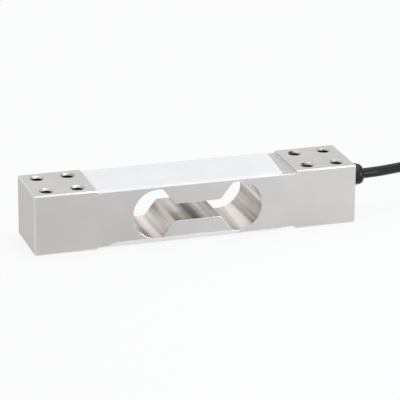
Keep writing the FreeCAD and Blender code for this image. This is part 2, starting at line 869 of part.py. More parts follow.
def make_cap_nut():
    """Build the dome nut: a turned blank, kept where a hexagon bar meets it, then hollowed."""
    blank = doc.addObject("PartDesign::Body", "NutBlank")
    turned = new_sketch(blank, "NutProfile", "XZ_Plane")
    outline(
        turned,
        [
            ("nut_start", None),
            ("nut_end", None),
            ("nut_end", "nut_half"),
            ("nut_hex_end", "nut_half"),
            ("nut_corner_end", "nut_corner"),
            ("nut_corner_start", "nut_corner"),
            ("nut_start", "nut_half"),
        ],
    )
    solid = revolve(blank, turned, "NutTurned")

    def dome_rim(edge):
        ends = edge.Vertexes
        on_end = all(abs(vertex.X - value("nut_end")) < CLOSE for vertex in ends)
        return on_end and isinstance(edge.Curve, Part.Circle)

    dress(blank, "Fillet", "NutDome", solid, "nut_dome_round", dome_rim)

    bar = doc.addObject("PartDesign::Body", "NutBar")
    flats = new_sketch(bar, "NutFlats", "YZ_Plane", "nut_start")
    hexagon(flats, "nut_half", "nut_corner", "nut_corner_half")
    pad(bar, flats, "NutHexagon", "nut_length")

    hollow = doc.addObject("PartDesign::Body", "NutHollow")
    inside = new_sketch(hollow, "NutHollowProfile", "XZ_Plane")
    outline(
        inside,
        [
            ("nut_start", None),
            ("nut_end", None),
            ("nut_end", "gland_hole_radius"),
            ("nut_cavity_end", "gland_hole_radius"),
            ("nut_cavity_end", "nut_cavity_radius"),
            ("nut_start", "nut_cavity_radius"),
        ],
    )
    revolve(hollow, inside, "NutCavity")
    for body in (blank, bar, hollow):
        gland_place(body)
    shell = doc.addObject("Part::Common", "NutShell")
    shell.Base = blank
    shell.Tool = bar
    return keep(carve("gland_cap_nut", shell, hollow))


def make_gland():
    """Build the cable gland."""
    ring(
        "gland_washer",
        "Sizes.washer_width / 2",
        "Places.gland_bore_radius",
        "0",
        "Sizes.washer_thickness",
    )
    make_gland_body()
    ring(
        "gland_seal",
        "Places.collar_radius",
        "Places.cable_radius",
        "Places.collar_end",
        "Places.seal_length",
    )
    make_cap_nut()


# ---------------------------------------------------------------- cable, hank and stripped end


def track(label, radius):
    """Make a block with round ends: the hank's outline at one radius of its folds."""
    height = "Places.hank_height"
    pieces = [
        box(
            label + "Middle",
            "Sizes.hank_run",
            f"2 * {radius}",
            height,
            ("Places.hank_left", f"Sizes.hank_centre_y - {radius}", "Places.hank_floor"),
        )
    ]
    for side in ("left", "right"):
        start = (f"Places.hank_{side}", "Sizes.hank_centre_y", "Places.hank_floor")
        pieces.append(rod(label + side.title(), radius, height, start, UPRIGHT))
    return join(label, pieces)


def make_hank():
    """Build the folded cable's outer shape, with the strand that comes in on top and the one that leaves."""
    ring_of_turns = carve(
        "HankTurns", track("HankOutside", "Places.hank_outer"), track("HankInside", "Places.hank_inner")
    )
    entry = rod(
        "HankEntry",
        "Places.cable_radius",
        "(Places.hank_right - Places.entry_x)",
        ("Places.entry_x", "Places.strand_y", "Places.upper_strand"),
        ALONG_X,
    )
    leaving = rod(
        "HankExit",
        "Places.cable_radius",
        "Places.strand_reach",
        ("Places.hank_right", "Places.strand_y", "Places.lower_strand"),
        ALONG_X,
    )
    return keep(join("cable_hank", [ring_of_turns, entry, leaving]))


def tie_band(name, window_corner, frame_corner, across, top):
    """Make a cable tie's band: a frame round the strands, as long along X and Y as the two names say."""
    thickness = "Sizes.tie_thickness"
    window = box(name + "Window", *across["window"], f"{top} - {thickness}", window_corner)
    frame = box(name + "Frame", *across["frame"], f"{top} + {thickness}", frame_corner)
    return carve(name + "Band", frame, window)


def tie_head(name, corner, size_x, size_y):
    """Make a cable tie's head."""
    return box(name + "Head", size_x, size_y, "Sizes.tie_head", corner)


def make_ties():
    """Put a cable tie round the left fold and one round the back strands, both heads on the inside."""
    thickness, half = "Sizes.tie_thickness", "Places.tie_half"
    short, long = f"{thickness} + Sizes.tie_head / 2", "Sizes.tie_head"
    left = "Places.hank_left - Places.hank_outer - Sizes.tie_play"
    near = f"Sizes.hank_centre_y - {half}"
    left_band = tie_band(
        "LeftTie",
        (left, near, thickness),
        (f"{left} - {thickness}", near, None),
        {
            "window": ("Places.tie_window", "Sizes.tie_width"),
            "frame": ("Places.tie_frame", "Sizes.tie_width"),
        },
        "Places.hank_top",
    )
    left_head = tie_head(
        "LeftTie",
        (f"{left} + Places.tie_window", f"Sizes.hank_centre_y - {long} / 2", thickness),
        short,
        long,
    )
    back = "Sizes.hank_centre_y + Places.hank_inner - Sizes.tie_play"
    start = f"Places.hank_middle - {half}"
    back_band = tie_band(
        "BackTie",
        (start, back, thickness),
        (start, f"{back} - {thickness}", None),
        {
            "window": ("Sizes.tie_width", "Places.tie_window"),
            "frame": ("Sizes.tie_width", "Places.tie_frame"),
        },
        "Places.top_strand_top",
    )
    back_head = tie_head(
        "BackTie",
        (f"Places.hank_middle - {long} / 2", f"{back} - ({short})", thickness),
        long,
        short,
    )
    ties = [join("LeftTie", [left_band, left_head]), join("BackTie", [back_band, back_head])]
    return keep(gather("hank_ties", ties))


def route(points, high, low):
    """Turn a hand-chosen route into points in the beam's frame."""
    end_face = value("half_length")
    return [(end_face + ahead, back, low + share * (high - low)) for ahead, back, share in points]


def make_end(end):
    """Build the stripped end: a heat-shrink sleeve over the jacket and the five leads that leave it."""
    end_x, end_y, end_z = end
    mouth_x = end_x - value("sleeve_overlap")
    outer = doc.addObject("Part::Cylinder", "SleeveOutside")
    jacket = doc.addObject("Part::Cylinder", "SleeveBore")
    for feature in (outer, jacket):
        feature.Placement = FreeCAD.Placement(FreeCAD.Vector(mouth_x, end_y, end_z), ALONG_X)
    tie(outer, {"Radius": "Places.sleeve_radius", "Height": "Sizes.sleeve_length"})
    tie(jacket, {"Radius": "Places.cable_radius", "Height": "Sizes.sleeve_overlap"})
    keep(carve("end_sleeve", outer, jacket))

    start_x = mouth_x + value("sleeve_length")
    radius, tip_radius, length = value("lead_radius"), value("lead_tip_radius"), value("lead_length")
    middle = (len(LEAD_NAMES) - 1) / 2
    tips = []
    for order, label in enumerate(LEAD_NAMES):
        step = order - middle
        start_y = end_y + step * value("lead_spacing")
        end_of_lead = (start_x + length, start_y + step * value("lead_spread"), radius)
        landing = (start_x + 0.65 * length, start_y + 0.55 * step * value("lead_spread"), radius)
        points = [
            (start_x, start_y, end_z),
            (start_x + 0.2 * length, start_y, end_z),
            landing,
            end_of_lead,
        ]
        solids_piece(label, wire_shapes(label, [points], radius))
        bare = FreeCAD.Vector(*end_of_lead)
        heading = (bare - FreeCAD.Vector(*landing)).normalize()
        tips.append([end_of_lead, tuple(bare + heading * value("lead_tip_length"))])
    solids_piece("lead_tips", wire_shapes("lead_tips", tips, tip_radius))


def make_cable():
    """Build the free cable: the run from the gland, the hank with its ties, the tail and the stripped end."""
    first = (value("cable_start"), 0.0, value("gland_height"))
    entry = (value("entry_x"), value("strand_y"), value("upper_strand"))
    before_entry = (entry[0] - value("lead_in"), entry[1], entry[2])
    run = route(RUN_POINTS, value("gland_height"), value("upper_strand"))
    cable_tube("cable_run", [first] + run + [before_entry, entry])
    make_hank()
    make_ties()
    leaving = (value("exit_x"), value("strand_y"), value("lower_strand"))
    after_leaving = (leaving[0] + value("lead_out"), leaving[1], leaving[2])
    tail = route(TAIL_POINTS, value("lower_strand"), value("sleeve_radius"))
    cable_tube("cable_tail", [leaving, after_leaving] + tail)
    make_end(tail[-1])


# ---------------------------------------------------------------- checks and files


def check():
    """Stop if any feature failed or any piece has no sound shape."""
    for feature in doc.Objects:
        if any(word in feature.State for word in ("Invalid", "Error")):
            raise RuntimeError(f"{feature.Label} failed: {feature.State}")
    for node in nodes:
        if node.Shape.isNull() or not node.Shape.isValid() or not node.Shape.Solids:
            raise RuntimeError(f"{node.Label} has no sound solid")


def write():
    """Write each piece to its own STEP file."""
    os.makedirs("parts", exist_ok=True)
    for node in nodes:
        node.Shape.exportStep(f"parts/{node.Label}.step")
        print(f"{node.Label}: {len(node.Shape.Solids)} solid(s), {node.Shape.Volume:.1f} mm3")


fill_sheet("Sizes", SIZES)
fill_sheet("Places", PLACES)
beam = make_beam()
gauges_top, gauges_bottom = make_gauges()
terminal_top, terminal_bottom = make_terminals()
board, resistors = make_board()
links_top, links_bottom = make_links()
cores = make_cores()
make_sealant(
    "top_sealant",
    ("Places.upper_floor", "Places.upper_floor + Sizes.sealant_edge"),
    FreeCAD.Rotation(FreeCAD.Vector(1, 0, 0), 90),
    gauges_top + [terminal_top, board, resistors, links_top, links_bottom, cores],
    beam,
)
make_sealant(
    "bottom_sealant",
    ("Sizes.recess_depth - Sizes.sealant_edge", "Sizes.recess_depth - Sizes.sealant_edge"),
    FreeCAD.Rotation(FreeCAD.Vector(1, 0, 0), -90),
    gauges_bottom + [terminal_bottom, links_bottom],
    beam,
)
make_gland()
make_cable()
doc.recompute()
check()
write()
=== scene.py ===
"""Looks of a single point load cell: bar, silicone over its gauges, bolt threads, gland, cable."""

import logging
import math
from collections.abc import Iterable, Mapping
from dataclasses import dataclass, field
from enum import Enum, IntEnum

import bmesh
import bpy
from mathutils import Matrix, Vector, noise

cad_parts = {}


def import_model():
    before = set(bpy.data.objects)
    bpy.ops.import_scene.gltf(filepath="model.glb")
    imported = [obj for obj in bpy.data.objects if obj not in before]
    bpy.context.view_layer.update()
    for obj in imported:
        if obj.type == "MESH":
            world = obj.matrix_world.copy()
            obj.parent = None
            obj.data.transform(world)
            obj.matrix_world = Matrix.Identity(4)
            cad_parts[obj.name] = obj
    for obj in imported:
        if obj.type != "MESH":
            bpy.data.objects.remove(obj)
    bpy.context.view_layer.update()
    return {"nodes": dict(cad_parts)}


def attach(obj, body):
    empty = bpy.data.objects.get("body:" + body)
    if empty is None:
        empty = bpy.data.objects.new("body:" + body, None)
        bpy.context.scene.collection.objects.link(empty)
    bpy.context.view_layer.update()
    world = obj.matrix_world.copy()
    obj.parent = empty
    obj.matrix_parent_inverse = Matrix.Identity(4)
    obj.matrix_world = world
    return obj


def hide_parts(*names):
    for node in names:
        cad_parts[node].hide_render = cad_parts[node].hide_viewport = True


logging.basicConfig(level=logging.INFO, format="%(message)s")
LOG = logging.getLogger("load_cell")

MM = 0.001
# Height of the bar and half of its width, in millimetres.
BAR_HEIGHT = 27.5
BAR_HALF_WIDTH = 15.0

Point = tuple[float, float, float]


# ---------------------------------------------------------------- colours and nodes


def colour(code: str) -> tuple[float, float, float, float]:
    """Turn an sRGB hex code into a linear colour.

    Args:
        code: Six hex digits, without a leading mark.

    Returns:
        Red, green, blue and an alpha of one.
    """
    channels = [int(code[i : i + 2], 16) / 255 for i in (0, 2, 4)]
    linear = [c / 12.92 if c <= 0.04045 else ((c + 0.055) / 1.055) ** 2.4 for c in channels]
    return linear[0], linear[1], linear[2], 1.0


def add_node(
    tree: bpy.types.NodeTree,
    kind: str,
    settings: Mapping[str, object] | None = None,
    inputs: Mapping[str | int, object] | None = None,
) -> bpy.types.Node:
    """Add a node to a tree.

    Args:
        tree: The tree that gets the node.
        kind: The node's type name.
        settings: Properties of the node and their values.
        inputs: Socket names or numbers, each with a value or with the output that feeds it.

    Returns:
        The new node.
    """
    node = tree.nodes.new(kind)
    for name, value in (settings or {}).items():
        setattr(node, name, value)
    for name, value in (inputs or {}).items():
        socket = node.inputs[name]
        if isinstance(value, bpy.types.NodeSocket):
            tree.links.new(value, socket)
        else:
            socket.default_value = value
    return node


# A noise swings about its middle. Its detail adds octaves that are finer than its size.
NOISE_MIDDLE = 0.5
NOISE_DETAIL = 3.0
# The part of the grain's noise over which the roughness goes from its least to its most.
ROUGHNESS_BAND = 0.5


@dataclass(frozen=True)
class Finish:
    """A surface finish: what the material is and how its surface was made.

    Attributes:
        name: The material's name.
        shade: Its first colour, as six hex digits.
        second_shade: The colour that the first one is mottled with.
        metallic: 1 for bare metal, 0 for anything else.
        roughness: The middle of its roughness.
        roughness_swing: How far the roughness goes to each side of its middle.
        grain: Size of its fine grain along each axis, in millimetres.
        grain_depth: Depth of the grain's relief, in millimetres.
        patch: Size of its patches of colour along each axis, in millimetres.
        contrast: The part of the noise over which the colours blend; less is harder.
        sockets: Other sockets of the shader, with their values.
    """

    name: str
    shade: str
    second_shade: str
    metallic: float = 0.0
    roughness: float = 0.4
    roughness_swing: float = 0.05
    grain: Point = (0.5, 0.5, 0.5)
    grain_depth: float = 0.02
    patch: Point = (12.0, 12.0, 12.0)
    contrast: float = 0.4
    sockets: Mapping[str, object] = field(default_factory=dict)

    def build(self) -> bpy.types.Material:
        """Make the material.

        Returns:
            A material with mottled colour, uneven roughness and a fine grain in relief.
        """
        material = bpy.data.materials.new(self.name)
        material.use_nodes = True
        tree = material.node_tree
        shader = tree.nodes["Principled BSDF"]
        place = add_node(tree, "ShaderNodeTexCoord").outputs["Object"]
        noises = []
        for size in (self.grain, self.patch):
            scale = [1.0 / (step * MM) for step in size]
            scaled = add_node(tree, "ShaderNodeMapping", inputs={"Vector": place, "Scale": scale})
            cloud = add_node(
                tree,
                "ShaderNodeTexNoise",
                inputs={"Vector": scaled.outputs["Vector"], "Scale": 1.0, "Detail": NOISE_DETAIL},
            )
            noises.append(cloud.outputs["Fac"])
        fine, broad = noises
        share = add_node(
            tree,
            "ShaderNodeMapRange",
            inputs={
                "Value": broad,
                "From Min": NOISE_MIDDLE - self.contrast / 2,
                "From Max": NOISE_MIDDLE + self.contrast / 2,
            },
        )
        shade = add_node(
            tree,
            "ShaderNodeMixRGB",
            inputs={
                "Fac": share.outputs["Result"],
                "Color1": colour(self.shade),
                "Color2": colour(self.second_shade),
            },
        )
        rough = add_node(
            tree,
            "ShaderNodeMapRange",
            inputs={
                "Value": fine,
                "From Min": NOISE_MIDDLE - ROUGHNESS_BAND / 2,
                "From Max": NOISE_MIDDLE + ROUGHNESS_BAND / 2,
                "To Min": self.roughness - self.roughness_swing,
                "To Max": self.roughness + self.roughness_swing,
            },
        )
        bump = add_node(
            tree,
            "ShaderNodeBump",
            inputs={"Height": fine, "Strength": 1.0, "Distance": self.grain_depth * MM},
        )
        tree.links.new(shade.outputs["Color"], shader.inputs["Base Color"])
        tree.links.new(rough.outputs["Result"], shader.inputs["Roughness"])
        tree.links.new(bump.outputs["Normal"], shader.inputs["Normal"])
        shader.inputs["Metallic"].default_value = self.metallic
        for name, value in self.sockets.items():
            shader.inputs[name].default_value = value
        return material


# ---------------------------------------------------------------- finishes

# Silver anodised aluminium, milled fine before the bath: a matt, faintly warm sheen. Its cutter
# lines run along the bar, and are drawn coarser than real ones so that they show at all.
ANODISED = Finish(
    name="silver_anodised_aluminium",
    shade="C0BCB8",
    second_shade="C6C3C0",
    metallic=1.0,
    roughness=0.42,
    grain=(9.0, 0.25, 0.25),
    grain_depth=0.004,
    patch=(25.0, 25.0, 25.0),
)
# Aluminium milled with the side of the cutter inside the cut-out: it shines. Its colour holds
# painted reflections, broad bands of light and dark across the bar; the fine marks round it are
# relief, drawn coarser than real ones.
MILLED_WALL_PAINTED_REFLECTIONS = Finish(
    name="milled_aluminium_bore_painted_reflections",
    shade="4E4842",
    second_shade="E8E1DA",
    metallic=1.0,
    roughness=0.28,
    roughness_swing=0.1,
    grain=(18.0, 0.3, 18.0),
    grain_depth=0.03,
    patch=(7.0, 150.0, 7.0),
    contrast=0.3,
)
# Aluminium edges broken with a fine chamfer after anodising; their colour, far lighter than the
# faces', is a painted highlight: a bright line round each face.
BROKEN_EDGE_PAINTED_HIGHLIGHT = Finish(
    name="chamfered_edge_painted_highlight",
    shade="EDEBE9",
    second_shade="F3F2F0",
    metallic=1.0,
    roughness=0.25,
    grain_depth=0.004,
)
# Tapped aluminium coloured nearly black: painted shade for the darkness deep in the holes.
THREAD_PAINTED_SHADE = Finish(
    name="cut_aluminium_thread_painted_shade",
    shade="2E2C2B",
    second_shade="42403E",
    metallic=1.0,
    roughness=0.34,
    grain=(0.4, 0.4, 0.1),
    grain_depth=0.004,
)
# Neutral-cure silicone poured over the gauges: off-white, slightly translucent, with a satin skin
# that ripples a little.
SILICONE = Finish(
    name="white_silicone_sealant",
    shade="EEECE8",
    second_shade="F4F2EF",
    roughness=0.36,
    grain=(1.2, 1.2, 1.2),
    grain_depth=0.01,
    patch=(18.0, 18.0, 18.0),
    sockets={
        "Subsurface Weight": 0.12,
        "Subsurface Radius": (1.0, 1.0, 1.0),
        "Subsurface Scale": 0.0006,
    },
)
# Injection-moulded polyamide: near black, with the dull fine texture of an eroded mould.
NYLON = Finish(
    name="black_polyamide",
    shade="0C0D0F",
    second_shade="111214",
    roughness=0.34,
    grain=(0.35, 0.35, 0.35),
    grain_depth=0.01,
    patch=(6.0, 6.0, 6.0),
    sockets={"Specular IOR Level": 0.3},
)
# Moulded nitrile rubber of the washer and the sealing bush: black without a gloss.
RUBBER = Finish(
    name="black_nitrile_rubber",
    shade="111112",
    second_shade="161617",
    roughness=0.6,
    grain_depth=0.01,
)
# Extruded PVC jacket: black and satin, with a slightly uneven skin.
JACKET = Finish(
    name="black_pvc_jacket",
    shade="0B0C0D",
    second_shade="101112",
    roughness=0.32,
    roughness_swing=0.06,
    grain_depth=0.012,
    patch=(9.0, 9.0, 9.0),
    sockets={"Specular IOR Level": 0.3},
)
# Polyolefin sleeve shrunk over the jacket's end: a duller and greyer black than the jacket.
SHRINK = Finish(
    name="black_polyolefin_sleeve",
    shade="151516",
    second_shade="1B1B1C",
    roughness=0.48,
    grain_depth=0.015,
)
# Twisted tinned copper braid: grey, with short glints along its strands.
BRAID = Finish(
    name="tinned_copper_braid",
    shade="A9A8A4",
    second_shade="BDBCB8",
    metallic=1.0,
    roughness=0.35,
    grain=(0.12, 0.5, 0.12),
    grain_depth=0.05,
)
# Copper strands dipped in solder: smooth and bright grey.
TINNED = Finish(
    name="tinned_copper",
    shade="B4B3AF",
    second_shade="C3C2BE",
    metallic=1.0,
    roughness=0.25,
    grain_depth=0.01,
)
# Etched copper-nickel foil on rolled polyimide film: amber and glossy.
GAUGE_FILM = Finish(
    name="polyimide_gauge_film", shade="A9772E", second_shade="B5823A", roughness=0.25
)
# Etched and tinned copper tabs: a dull yellowish metal.
TERMINAL = Finish(
    name="tinned_terminal",
    shade="BE9A6A",
    second_shade="C7A576",
    metallic=1.0,
    roughness=0.3,
)
# Drawn copper wire under baked enamel: glossy brown.
ENAMELLED = Finish(name="enamelled_copper", shade="8C3B1E", second_shade="9A4525", roughness=0.25)
# Pressed glass laminate under a printed solder mask: an even, glossy green.
BOARD = Finish(
    name="solder_mask_on_glass_laminate", shade="1E5C36", second_shade="25683F", roughness=0.3
)
# Fired ceramic chips under a black glaze: small glossy blocks.
CHIP = Finish(name="glazed_chip_resistor", shade="1B1B1D", second_shade="222224", roughness=0.3)


def insulation(name: str, shade: str, second_shade: str) -> Finish:
    """Return the finish of one wire's insulation: extruded PVC, even and satin."""
    return Finish(name, shade, second_shade, roughness=0.35, grain=(0.4, 0.4, 0.4))


# The CAD nodes whose own shapes stay, with what each is made of.
NODE_FINISHES: dict[str, Finish] = {
    "gland_body": NYLON,
    "gland_cap_nut": NYLON,
    "hank_ties": NYLON,
    "gland_washer": RUBBER,
    "gland_seal": RUBBER,
    "end_sleeve": SHRINK,
    "lead_red": insulation("red_pvc_insulation", "A81E1C", "B62521"),
    "lead_black": insulation("black_pvc_insulation", "161617", "1C1C1D"),
    "lead_green": insulation("green_pvc_insulation", "1F7A3C", "268745"),
    "lead_white": insulation("white_pvc_insulation", "E4E3DE", "ECEBE7"),
    "lead_shield": BRAID,
    "lead_tips": TINNED,
    "cable_cores": insulation("core_pvc_insulation", "A33A30", "B0443A"),
    "gauge_top_left": GAUGE_FILM,
    "gauge_top_right": GAUGE_FILM,
    "gauge_bottom_left": GAUGE_FILM,
    "gauge_bottom_right": GAUGE_FILM,
    "terminal_top": TERMINAL,
    "terminal_bottom": TERMINAL,
    "link_wires_top": ENAMELLED,
    "link_wires_bottom": ENAMELLED,
    "trim_board": BOARD,
    "trim_resistors": CHIP,
}
# The nodes among them that are on the cable.
ON_CABLE = (
    "gland_body",
    "gland_cap_nut",
    "gland_washer",
    "gland_seal",
    "cable_cores",
    "hank_ties",
    "end_sleeve",
    "lead_red",
    "lead_black",
    "lead_green",
    "lead_white",
    "lead_shield",
    "lead_tips",
)


class Palette:
    """Makes each finish's material once."""

    def __init__(self) -> None:
        """Start with no materials."""
        self.made: dict[str, bpy.types.Material] = {}

    def get(self, finish: Finish) -> bpy.types.Material:
        """Find a finish's material, or make it.

        Args:
            finish: The finish that is wanted.

        Returns:
            Its material.
        """
        if finish.name not in self.made:
            self.made[finish.name] = finish.build()
        return self.made[finish.name]


# ---------------------------------------------------------------- shared helpers

# The share of its normal along one axis from which a face counts as square to that axis.
SQUARE_TO_AXIS = 0.99999


def new_piece(
    name: str, mesh: bmesh.types.BMesh, material: bpy.types.Material, smooth_below: float
) -> bpy.types.Object:
    """Turn a bmesh into a piece that rides on the part.

    Args:
        name: The piece's name.
        mesh: The finished bmesh, in metres, which is freed.
        material: Its material.
        smooth_below: Edges that turn less than this angle in degrees are shaded smooth.

    Returns:
        The new object.
    """
    bmesh.ops.recalc_face_normals(mesh, faces=mesh.faces)
    data = bpy.data.meshes.new(name)
    mesh.to_mesh(data)
    mesh.free()
    data.materials.append(material)
    data.set_sharp_from_angle(angle=math.radians(smooth_below))
    for polygon in data.polygons:
        # Faces square to an axis are flat, so that no shading from their rims runs over them.
        polygon.use_smooth = max(abs(part) for part in polygon.normal) < SQUARE_TO_AXIS
    piece = bpy.data.objects.new(name, data)
    bpy.context.scene.collection.objects.link(piece)
    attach(piece, "root")
    LOG.info("%s: %d faces", name, len(data.polygons))
    return piece


def vertices(items: Iterable[object]) -> list[bmesh.types.BMVert]:
    """Return the vertices among a bmesh operator's results."""
    return [item for item in items if isinstance(item, bmesh.types.BMVert)]


def eased(share: float) -> float:
    """Return a share, held between 0 and 1, eased so that it starts and stops gently."""
    held = min(max(share, 0.0), 1.0)
    return held * held * (3 - 2 * held)


# ---------------------------------------------------------------- bar


@dataclass
class TappedHoles:
    """The M6 threads in the bar's eight holes. Sizes are in millimetres."""

    palette: Palette
    pitch: float = 1.0
    bore_radius: float = 2.5
    crest_radius: float = 2.2
    # How far the ridge's root is sunk into the bore's wall.
    root_sink: float = 0.05
    # Where the ridge's lower and upper root and its flat crest lie, as shares of the pitch.
    roots: tuple[float, float] = (0.0, 0.88)
    crest: tuple[float, float] = (0.38, 0.5)
    mouth_depth: float = 0.9
    steps: int = 24
    rows: tuple[float, ...] = (-67.75, -53.75, 53.75, 67.75)
    sides: tuple[float, ...] = (-8.5, 8.5)
    smooth_below: float = 20.0

    def ridge(self) -> bmesh.types.BMesh:
        """Wind a thread's ridge at the origin.

        Returns:
            A bmesh of the ridge, from the lower mouth to the upper one.
        """
        mesh = bmesh.new()
        turns = int((BAR_HEIGHT - 2 * self.mouth_depth) / self.pitch)
        outer, inner = self.bore_radius + self.root_sink, self.crest_radius
        profile = [
            (outer, self.roots[0]),
            (inner, self.crest[0]),
            (inner, self.crest[1]),
            (outer, self.roots[1]),
        ]
        section = [
            mesh.verts.new((radius * MM, 0.0, (self.mouth_depth + share * self.pitch) * MM))
            for radius, share in profile
        ]
        bmesh.ops.spin(
            mesh,
            geom=[mesh.faces.new(section)],
            cent=(0, 0, 0),
            axis=(0, 0, 1),
            dvec=(0, 0, self.pitch * MM / self.steps),
            angle=math.tau * turns,
            steps=self.steps * turns,
            use_merge=False,
            use_duplicate=False,
        )
        return mesh

    def build(self) -> bpy.types.Object:
        """Copy the ridge into every hole.

        Returns:
            The piece with all the threads.
        """
        mesh = self.ridge()
        first = mesh.verts[:] + mesh.edges[:] + mesh.faces[:]
        for x in self.rows:
            for y in self.sides:
                copied = bmesh.ops.duplicate(mesh, geom=first)["geom"]
                bmesh.ops.translate(mesh, verts=vertices(copied), vec=(x * MM, y * MM, 0))
        bmesh.ops.delete(mesh, geom=vertices(first), context="VERTS")
        # Nearly black: painted shade inside the holes.
        material = self.palette.get(THREAD_PAINTED_SHADE)
        return new_piece("bolt_threads", mesh, material, self.smooth_below)


class BarFinish(IntEnum):
    """The numbers of the bar's materials."""

    ANODISED = 0
    # Milled walls, with painted reflections in their colour.
    WALL = 1
    # Rounded edges, with a painted highlight in their colour.
    EDGE = 2
    # Tapped holes, with painted shade in their colour.
    THREAD = 3


@dataclass
class Bar:
    """The machined bar. Sizes are in millimetres, and angles in degrees."""

    palette: Palette
    node: bpy.types.Object
    # Vertices nearer than this are merged, and faces that turn less than this made one.
    merge_below: float = 0.001
    level_below: float = 0.4
    # Edges that turn more than this get a rounding of this width.
    sharp_above: float = 25.0
    edge: float = 0.18
    edge_segments: int = 2
    # The box round the cut-out's walls: half length, half width, lowest and highest.
    cut_out: tuple[float, float, float, float] = (36.0, 14.7, 1.6, 25.9)
    # The middle of a pad, and how far the holes are from it along and across the bar.
    pad_middle: float = 60.75
    hole_offset: tuple[float, float] = (7.0, 8.5)
    hole_radius: float = 2.6
    mouth_radius: float = 3.5
    # The height of a normal below which a face is a wall, and above which it is level.
    upright: float = 0.2
    level: float = 0.99

    def eased_copy(self) -> bmesh.types.BMesh:
        """Copy the CAD node's mesh with its sharp edges rounded.

        Returns:
            A bmesh whose roundings have the edge's material.
        """
        mesh = bmesh.new()
        mesh.from_mesh(self.node.data)
        bmesh.ops.remove_doubles(mesh, verts=mesh.verts, dist=self.merge_below * MM)
        bmesh.ops.dissolve_limit(
            mesh,
            angle_limit=math.radians(self.level_below),
            verts=mesh.verts,
            edges=mesh.edges,
        )
        limit = math.radians(self.sharp_above)
        bmesh.ops.bevel(
            mesh,
            geom=[edge for edge in mesh.edges if edge.calc_face_angle(0.0) > limit],
            offset=self.edge * MM,
            offset_type="OFFSET",
            segments=self.edge_segments,
            profile=0.5,
            affect="EDGES",
            material=BarFinish.EDGE,
            clamp_overlap=True,
        )
        return mesh

    def finish_of(self, face: bmesh.types.BMFace) -> int:
        """Tell which finish a face gets: the cut-out and the countersinks are freshly milled and
        get painted reflections, the holes' walls painted shade.

        Args:
            face: A face of the rounded copy.

        Returns:
            The number of its material.
        """
        middle = face.calc_center_median() / MM
        far, wide, low, high = self.cut_out
        within = abs(middle.x) < far and abs(middle.y) < wide and low < middle.z < high
        if face.material_index == BarFinish.ANODISED and within:
            return BarFinish.WALL
        along = abs(abs(middle.x) - self.pad_middle) - self.hole_offset[0]
        reach = math.hypot(along, abs(middle.y) - self.hole_offset[1])
        if reach < self.hole_radius and abs(face.normal.z) < self.upright:
            return BarFinish.THREAD
        if reach < self.mouth_radius and abs(face.normal.z) < self.level:
            return BarFinish.WALL
        return face.material_index

    def build(self) -> bpy.types.Object:
        """Round the bar's edges and give it its finishes.

        Returns:
            The piece that stands for the CAD beam.
        """
        mesh = self.eased_copy()
        for face in mesh.faces:
            face.material_index = self.finish_of(face)
        piece = new_piece("bar", mesh, self.palette.get(ANODISED), self.sharp_above)
        # The walls carry painted reflections, the roundings a painted highlight and the holes
        # painted shade.
        for finish in (MILLED_WALL_PAINTED_REFLECTIONS, BROKEN_EDGE_PAINTED_HIGHLIGHT, THREAD_PAINTED_SHADE):
            piece.data.materials.append(self.palette.get(finish))
        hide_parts("beam")
        return piece


# ---------------------------------------------------------------- sealant


class Side(Enum):
    """The side of the bar whose recess a sealant bed fills, and which way its skin faces."""

    TOP = 1
    BOTTOM = -1


